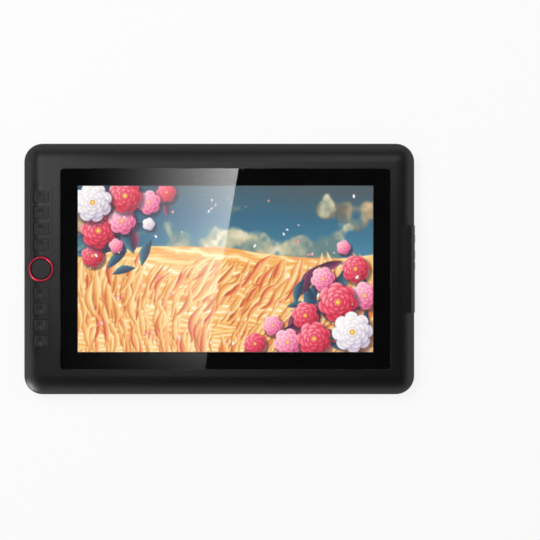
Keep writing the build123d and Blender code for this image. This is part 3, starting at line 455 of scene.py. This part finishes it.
class Canvas:
    """A sheet of points that shapes are painted on, from the back to the front."""

    def __init__(self, dice, x, y, paint):
        self.dice = dice
        self.x = x
        self.y = y
        self.paint = paint

    def near(self, x, y, reach):
        """The part of the sheet within reach of a place, so that small shapes paint fast."""
        across = slice(*np.searchsorted(self.x[0], (x - reach, x + reach)))
        down = slice(*np.searchsorted(self.y[:, 0], (y - reach, y + reach)))
        spot = (down, across)
        return Canvas(self.dice, self.x[spot], self.y[spot], self.paint[spot])

    def cloud(self, scale, octaves=4):
        """Soft noise of 0 to 1 whose largest lumps measure one scale."""
        total = np.zeros_like(self.x)
        weight = 0
        for octave in range(octaves):
            step = scale / 2 ** octave
            gx = self.x / step
            gy = self.y / step
            lattice = self.dice.random((int(gy.max()) + 3, int(gx.max()) + 3))
            ix = gx.astype(int)
            iy = gy.astype(int)
            fx = smooth(gx - ix, 0, 1)
            fy = smooth(gy - iy, 0, 1)
            upper = lattice[iy, ix] * (1 - fx) + lattice[iy, ix + 1] * fx
            lower = lattice[iy + 1, ix] * (1 - fx) + lattice[iy + 1, ix + 1] * fx
            share = 0.5 ** octave
            total += share * (upper * (1 - fy) + lower * fy)
            weight += share
        return total / weight

    def lay(self, shade, codes, cover):
        """Lays a shape of shaded colour over the sheet by a cover of 0 to 1."""
        spot = cover > 0
        share = np.minimum(cover[spot], 1)[..., None]
        self.paint[spot] += (colour_line(shade[spot], codes) - self.paint[spot]) * share


def paint_sky(canvas):
    """An evening sky, slate and teal at the right and deeper blue at the left, with tan cloud."""
    lift = canvas.y + 0.16 * (canvas.cloud(0.5) - 0.5)
    canvas.lay(lift, sky, np.ones_like(canvas.x))
    leftward = 1 - canvas.x / picture_ratio + 0.15 * canvas.cloud(0.3)
    canvas.lay(1.2 * canvas.y, deep_sky, 0.75 * smooth(leftward, 0.72, 1.0))
    for scale, height, deep, pale in cloud_banks:
        lumps = canvas.cloud(scale, 5) - 0.47 - 0.9 * np.abs(canvas.y - height)
        shade = canvas.cloud(scale / 3, 4) + 0.8 * (canvas.y - height)
        canvas.lay(shade, (deep, deep, pale, "#fff2d8"), smooth(lumps, 0.0, 0.08))


def paint_hills(canvas):
    """Far hills in teal and plum, behind the ridges of grass."""
    for height, swing, phase, upper, lower in hill_rows:
        line = height + swing * np.sin(phase + 5 * canvas.x) + 0.05 * (canvas.cloud(0.2) - 0.5)
        shade = (line - canvas.y) * 4 + 0.5 * (canvas.cloud(0.06, 3) - 0.5)
        canvas.lay(shade, (upper, lower), smooth(line - canvas.y, 0, edge))


def paint_ridge(canvas, foot, phase, shades, strands):
    """One windblown ridge of golden grass, from the left edge of the picture to the right."""
    wander = 0.03 * (canvas.cloud(0.3) - 0.5)
    line = foot + 0.03 * canvas.x + 0.035 * np.sin(phase + 3.1 * canvas.x) + wander
    half = 0.070 + 0.018 * np.sin(phase + 2.3 * canvas.x)
    across = (canvas.y - line) / half
    slope = np.sqrt(np.clip(1 - across ** 2, 0, 1))
    hair = 0.5 + 0.5 * np.sin(strands * across + 7 * canvas.cloud(0.12, 3) + 9 * canvas.x)
    fine = 0.5 + 0.5 * np.sin(3.3 * strands * across + 9 * canvas.cloud(0.09, 3))
    light = 0.06 + 0.44 * slope + 0.30 * hair ** 2 + 0.12 * fine + 0.24 * across
    canvas.lay(light, shades, smooth((1 - np.abs(across)) * half, 0, 2 * edge))


def paint_ridges(canvas):
    """Golden ridges one before the other, over the lower half of the picture."""
    for step in range(ridges):
        foot = 0.50 - 0.54 * step / (ridges - 1)
        paint_ridge(canvas, foot, 1.7 * step, straw if step % 2 else amber, 8 + step)


def paint_blade(sheet, x, y, length, turn, slim, bend, shades):
    """One pointed leaf or blade of grass about its middle, bent to one side."""
    canvas = sheet.near(x, y, (0.55 + abs(bend)) * length)
    dx = canvas.x - x
    dy = canvas.y - y
    along = np.clip((dx * math.cos(turn) + dy * math.sin(turn)) / length + 0.5, 0, 1)
    swell = np.sin(np.pi * along)
    across = dy * math.cos(turn) - dx * math.sin(turn) + bend * length * (swell - 0.5)
    half = slim * length * swell
    off = across / np.maximum(half, edge)
    shade = 0.58 - 0.30 * off + 0.13 * np.sin(15 * off + 6 * along) + 0.25 * (along - 0.6)
    canvas.lay(shade, shades, smooth(half - np.abs(across), 0, edge))


def paint_grass(canvas):
    """Loose blades that stand in the ridges, leaning with the wind."""
    dice = canvas.dice
    for step in range(grass_blades):
        x = dice.uniform(0, 1) * picture_ratio
        y = dice.uniform(-0.04, 0.52)
        lean = 1.25 + 0.45 * math.sin(3 * x + 5 * y)
        length = dice.uniform(0.10, 0.26)
        slim = dice.uniform(0.06, 0.11)
        bend = dice.uniform(-0.22, 0.22)
        paint_blade(canvas, x, y, length, lean, slim, bend, (straw, amber, straw, ember)[step % 4])


def paint_blossom(sheet, x, y, radius, petals, turn, shades):
    """One many-layered blossom over its soft shadow, its outer petals darker than its inner."""
    canvas = sheet.near(x, y, 1.3 * radius)
    dx = canvas.x - x
    dy = canvas.y - y
    away = np.hypot(dx, dy)
    angle = np.arctan2(dy, dx)
    shadow = smooth(radius * 1.16 - np.hypot(dx - 0.012, dy + 0.016), 0, radius * 0.25)
    canvas.lay(away, dusk, 0.55 * shadow)
    layers = 5
    for layer in range(layers):
        share = layer / (layers - 1)
        reach = radius * (1 - 0.78 * share)
        wave = np.abs(np.sin(petals / 2 * (angle + turn + 0.55 * layer)))
        rim = reach * (0.80 + 0.20 * np.sqrt(wave))
        inner = away / rim
        vein = 0.06 * np.sin(petals * 6 * (angle + turn))
        light = 0.12 + 0.55 * inner ** 2 + 0.25 * share + vein + 0.18 * (dy - dx) / radius
        light = light - 0.35 * (1 - np.sqrt(wave)) * inner
        canvas.lay(light, shades, smooth(rim - away, 0, edge * 0.8))
    canvas.lay(1.2 - away / (radius * 0.16), pollen, smooth(radius * 0.15 - away, 0, edge))


def paint_petal(sheet, x, y, size, turn, shades):
    """One loose petal, carried by the wind."""
    canvas = sheet.near(x, y, 1.2 * size)
    dx = (canvas.x - x) * math.cos(turn) + (canvas.y - y) * math.sin(turn)
    dy = (canvas.y - y) * math.cos(turn) - (canvas.x - x) * math.sin(turn)
    away = np.hypot(dx, dy * 1.9)
    canvas.lay(0.95 - 0.4 * away / size, shades, smooth(size - away, 0, edge))


def paint_flowers(canvas):
    """Blossoms on dark leaves in two opposite corners, with loose petals in the air."""
    dice = canvas.dice
    for step in range(leaves):
        share, height = lower_bunch if step % 3 else upper_bunch
        x = picture_ratio * (share + dice.normal(0, 0.06))
        y = height + dice.normal(0, 0.12)
        length = dice.uniform(0.12, 0.24)
        turn = dice.uniform(0, 2 * math.pi)
        paint_blade(canvas, x, y, length, turn, 0.17, 0.08, night if step % 4 else plum)
    for share, y, radius, petals, shades in blossoms:
        turn = dice.uniform(0, 6)
        paint_blossom(canvas, share * picture_ratio, y, radius, petals, turn, shades)
    for step in range(loose_petals):
        x = dice.uniform(0.04, 0.96) * picture_ratio
        y = dice.uniform(0.05, 0.97)
        size = dice.uniform(0.005, 0.015)
        turn = dice.uniform(0, math.pi)
        paint_petal(canvas, x, y, size, turn, (pink, crimson, white)[step % 3])


def picture_colours():
    """The finished picture, one linear colour for each dot of the panel."""
    x, y = np.meshgrid(np.linspace(0, picture_ratio, dots_across * samples),
                       np.linspace(0, 1, dots_down * samples))
    canvas = Canvas(np.random.default_rng(picture_seed), x, y, np.zeros((*x.shape, 3)))
    for layer in (paint_sky, paint_hills, paint_ridges, paint_grass, paint_flowers):
        layer(canvas)
    fine = np.clip(canvas.paint, 0, 1)
    fine = fine.reshape(dots_down, samples, dots_across, samples, 3).mean(axis=(1, 3))
    return np.where(fine <= 0.04045, fine / 12.92, ((fine + 0.055) / 1.055) ** 2.4)


def screen_picture():
    """The lit layer of the panel, a sheet of dots just above the cell."""
    low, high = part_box("lcd_panel")
    centre = (low + high) / 2
    above_cell = 0.05 * mm
    work = bmesh.new()
    flat_sheet(work, (centre.x, centre.y, high.z + above_cell), picture_length, picture_width,
               dots_across - 1, dots_down - 1)
    made = piece_from(work, "screen_picture", lit_picture(), "case")
    layer = made.data.color_attributes.new("picture", "FLOAT_COLOR", "POINT")
    places = np.empty(len(made.data.vertices) * 3)
    made.data.vertices.foreach_get("co", places)
    places = places.reshape(-1, 3)
    across = (places[:, 0] - centre.x) / picture_length + 0.5
    up = (places[:, 1] - centre.y) / picture_width + 0.5
    column = np.rint(across * (dots_across - 1)).astype(int)
    row = np.rint(up * (dots_down - 1)).astype(int)
    colours = np.ones((len(places), 4), dtype=np.float32)
    colours[:, :3] = picture_colours()[row, column]
    layer.data.foreach_set("color", colours.ravel())


screen_picture()


def border_ink():
    """The black print on the glass's back, open where the picture shows."""
    low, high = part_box("cover_glass")
    centre = (low + high) / 2
    cell_low, cell_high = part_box("lcd_panel")
    heart = (cell_low + cell_high) / 2
    level = low.z + 0.08 * mm
    inset = 0.4 * mm
    show = 0.5 * mm
    corner = 3.6 * mm
    window_corner = 0.3 * mm
    thickness = 0.04 * mm
    work = bmesh.new()
    outer = rounded_loop(work, centre, high.x - low.x - 2 * inset, high.y - low.y - 2 * inset,
                         corner, level)
    inner = rounded_loop(work, heart, picture_length + 2 * show, picture_width + 2 * show,
                         window_corner, level)
    bmesh.ops.bridge_loops(work, edges=outer + inner)
    bmesh.ops.recalc_face_normals(work, faces=work.faces)
    made = piece_from(work, "glass_border_print", ink, "case")
    thick = made.modifiers.new("ink", "SOLIDIFY")
    thick.thickness = thickness
    thick.offset = 0


border_ink()


# The set: white floor, cards and a flag that only shiny faces see, two lamps, world and camera

def seen_directly(tree):
    """1 for what the eye sees, straight on, in a gloss or through glass, and 0 for the rays that
    bring light to the object."""
    path = add(tree, "LightPath").outputs
    seen = calc(tree, "MAXIMUM", path["Is Camera Ray"], path["Is Glossy Ray"])
    return calc(tree, "MAXIMUM", seen, path["Is Transmission Ray"])


def mix(tree, share, first, second):
    """Goes from the first shader to the second with a share of 0 to 1."""
    return add(tree, "MixShader", {"Fac": share, 1: first, 2: second}).outputs["Shader"]


def floor_material():
    """White sweep paper, lit evenly so that the soft shadow still shows, and clear from below."""
    lit_share = 0.82
    brightness = 1.04
    material, tree = new_material("white_sweep_paper")
    paper = add(tree, "BsdfDiffuse", {"Color": srgb("#f4f4f4")}).outputs["BSDF"]
    share = calc(tree, "MULTIPLY", seen_directly(tree), lit_share)
    above = mix(tree, share, paper, glow(tree, brightness))
    below = add(tree, "BsdfTransparent").outputs["BSDF"]
    from_below = add(tree, "NewGeometry").outputs["Backfacing"]
    finish_surface(tree, mix(tree, from_below, above, below))
    return material


def stage_plane(name, centre, length, width, material):
    """A flat piece of the set, square to Z."""
    work = bmesh.new()
    flat_sheet(work, centre, length, width)
    made = mesh_object(work, name, material)
    return made


def gloss_plane(name, centre, length, width, material):
    """A flat piece of the set that nothing but shiny reflections see."""
    made = stage_plane(name, centre, length, width, material)
    made.visible_camera = False
    made.visible_diffuse = False
    made.visible_transmission = False
    made.visible_shadow = False


floor_level = -0.2 * mm
floor_size = 12.0
stage_plane("floor", (0, 0, floor_level), floor_size, floor_size, floor_material())

# The camera looks straight down, its aim and span measured in the photo
frame_span = 537.4 * mm
aim = Vector((middle.x + 50.1 * mm, middle.y - 1.04 * mm, glass_top))
lens = 135.0
sensor = 36.0
camera_height = frame_span * lens / sensor

# The card mirrored in the glass. The slanted edge of the photo's sheen crosses the glass's far
# side to the right of the middle, and its near side to the left.
card_height = 1.5
card_length = 1.6
card_width = 1.2
glare_strength = 10.0
glare_curve = 2.7
glare_fade = 40 * mm
near_share = 0.07
far_share = 0.25
width_slack = 1.05


def seen_on_card(x, y):
    """Where the ray that the camera sees mirrored in the glass at x, y meets the card."""
    grow = 1 + (card_height - glass_top) / camera_height
    return Vector((aim.x + (x - aim.x) * grow, aim.y + (y - aim.y) * grow))


glass_low, glass_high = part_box("cover_glass")
edge_far = seen_on_card(middle.x + 18.7 * mm, glass_high.y)
edge_near = seen_on_card(middle.x - 14.8 * mm, glass_low.y)
glass_corner = seen_on_card(glass_low.x, glass_high.y)
glare_slope = (edge_far.x - edge_near.x) / (edge_far.y - edge_near.y)
glare_edge = edge_far.x - glare_slope * edge_far.y
glare_width = (glare_edge - glass_corner.x) * width_slack


def glare_material():
    """Softbox cloth, brightest along its slanted right edge and at its far end. Beyond that edge
    it is dark, and past both ends of the glass it fades."""
    material, tree = new_material("softbox_cloth")
    parts = add(tree, "SeparateXYZ", {"Vector": here(tree)}).outputs
    along = calc(tree, "SUBTRACT", parts["X"], calc(tree, "MULTIPLY", parts["Y"], glare_slope))
    fall = spread(tree, along, 0.0, 1.0, glare_edge - glare_width, glare_edge)
    power = calc(tree, "POWER", fall, glare_curve)
    for share in (
            spread(tree, parts["Y"], near_share, 1.0, edge_near.y, edge_far.y),
            calc(tree, "LESS_THAN", along, glare_edge),
            spread(tree, parts["Y"], 1.0, far_share, edge_far.y, edge_far.y + glare_fade),
            spread(tree, parts["Y"], 1.0, 0.0, edge_near.y, edge_near.y - glare_fade),
            glare_strength):
        power = calc(tree, "MULTIPLY", power, share)
    finish_surface(tree, glow(tree, power))
    return material


gloss_plane("glass_softbox", (0, 0, card_height), card_length, card_width, glare_material())


def dull_black():
    """Black flag cloth over the set."""
    material, tree = new_material("black_flag_cloth")
    finish_surface(tree, add(tree, "BsdfDiffuse", {"Color": (0, 0, 0, 1)}).outputs["BSDF"])
    return material


flag_height = 2.6
flag_size = 3.0
gloss_plane("ceiling_flag", (0, 0, flag_height), flag_size, flag_size, dull_black())


def case_softbox(name, centre, length, width, power):
    """A soft card for the case's satin gloss and for the ring, beside what the glass mirrors."""
    full_from = 0.4
    material, tree = new_material(name + "_cloth")
    away = vector_calc(tree, "SUBTRACT", here(tree), centre)
    share = vector_calc(tree, "DIVIDE", away, (length / 2, width / 2, 1))
    reach = vector_calc(tree, "LENGTH", share)
    finish_surface(tree, glow(tree, spread(tree, reach, 0.0, power, 1.0, full_from)))
    gloss_plane(name, centre, length, width, material)


# Each soft card: its name, its centre, its length, its width and its strength
for soft_card in (("left_softbox", (-0.43, 0.30, 1.48), 0.24, 0.85, 4.7),
                  ("top_softbox", (0.22, 0.37, 1.47), 0.8, 0.36, 1.9),
                  ("ring_softbox", (-1.3, -1.1, 1.2), 1.2, 1.2, 24.0)):
    case_softbox(*soft_card)


def soft_light(name, spot, size, power):
    """A square soft light aimed at the object's middle, flagged off from shiny faces."""
    data = bpy.data.lights.new(name, "AREA")
    data.shape = "SQUARE"
    data.size = size
    data.energy = power
    made = bpy.data.objects.new(name, data)
    made.location = spot
    made.rotation_euler = (middle - Vector(spot)).to_track_quat("-Z", "Y").to_euler()
    made.visible_glossy = False
    bpy.context.scene.collection.objects.link(made)


# Each lamp: its name, its place, its size and its power in watts
for lamp in (("key_light", (-1.5, 1.3, 1.9), 1.8, 46), ("right_fill", (1.9, 0.5, 1.1), 0.9, 4)):
    soft_light(*lamp)


def studio_world():
    """A white surround for the eye, and a plain soft level of light on the object."""
    light_level = 0.3
    world = bpy.data.worlds.new("studio")
    bpy.context.scene.world = world
    world.use_nodes = True
    tree = world.node_tree
    tree.nodes.clear()
    level = spread(tree, seen_directly(tree), light_level, 1.0)
    back = add(tree, "Background", {"Color": (1, 1, 1, 1), "Strength": level})
    add(tree, "OutputWorld", {"Surface": back.outputs["Background"]})


studio_world()

camera_data = bpy.data.cameras.new("camera")
camera_data.lens = lens
camera_data.sensor_width = sensor
camera_data.clip_end = 50
camera = bpy.data.objects.new("camera", camera_data)
camera.location = aim + Vector((0, 0, camera_height))
bpy.context.scene.collection.objects.link(camera)
bpy.context.scene.camera = camera
bpy.context.scene.view_settings.view_transform = "Standard"
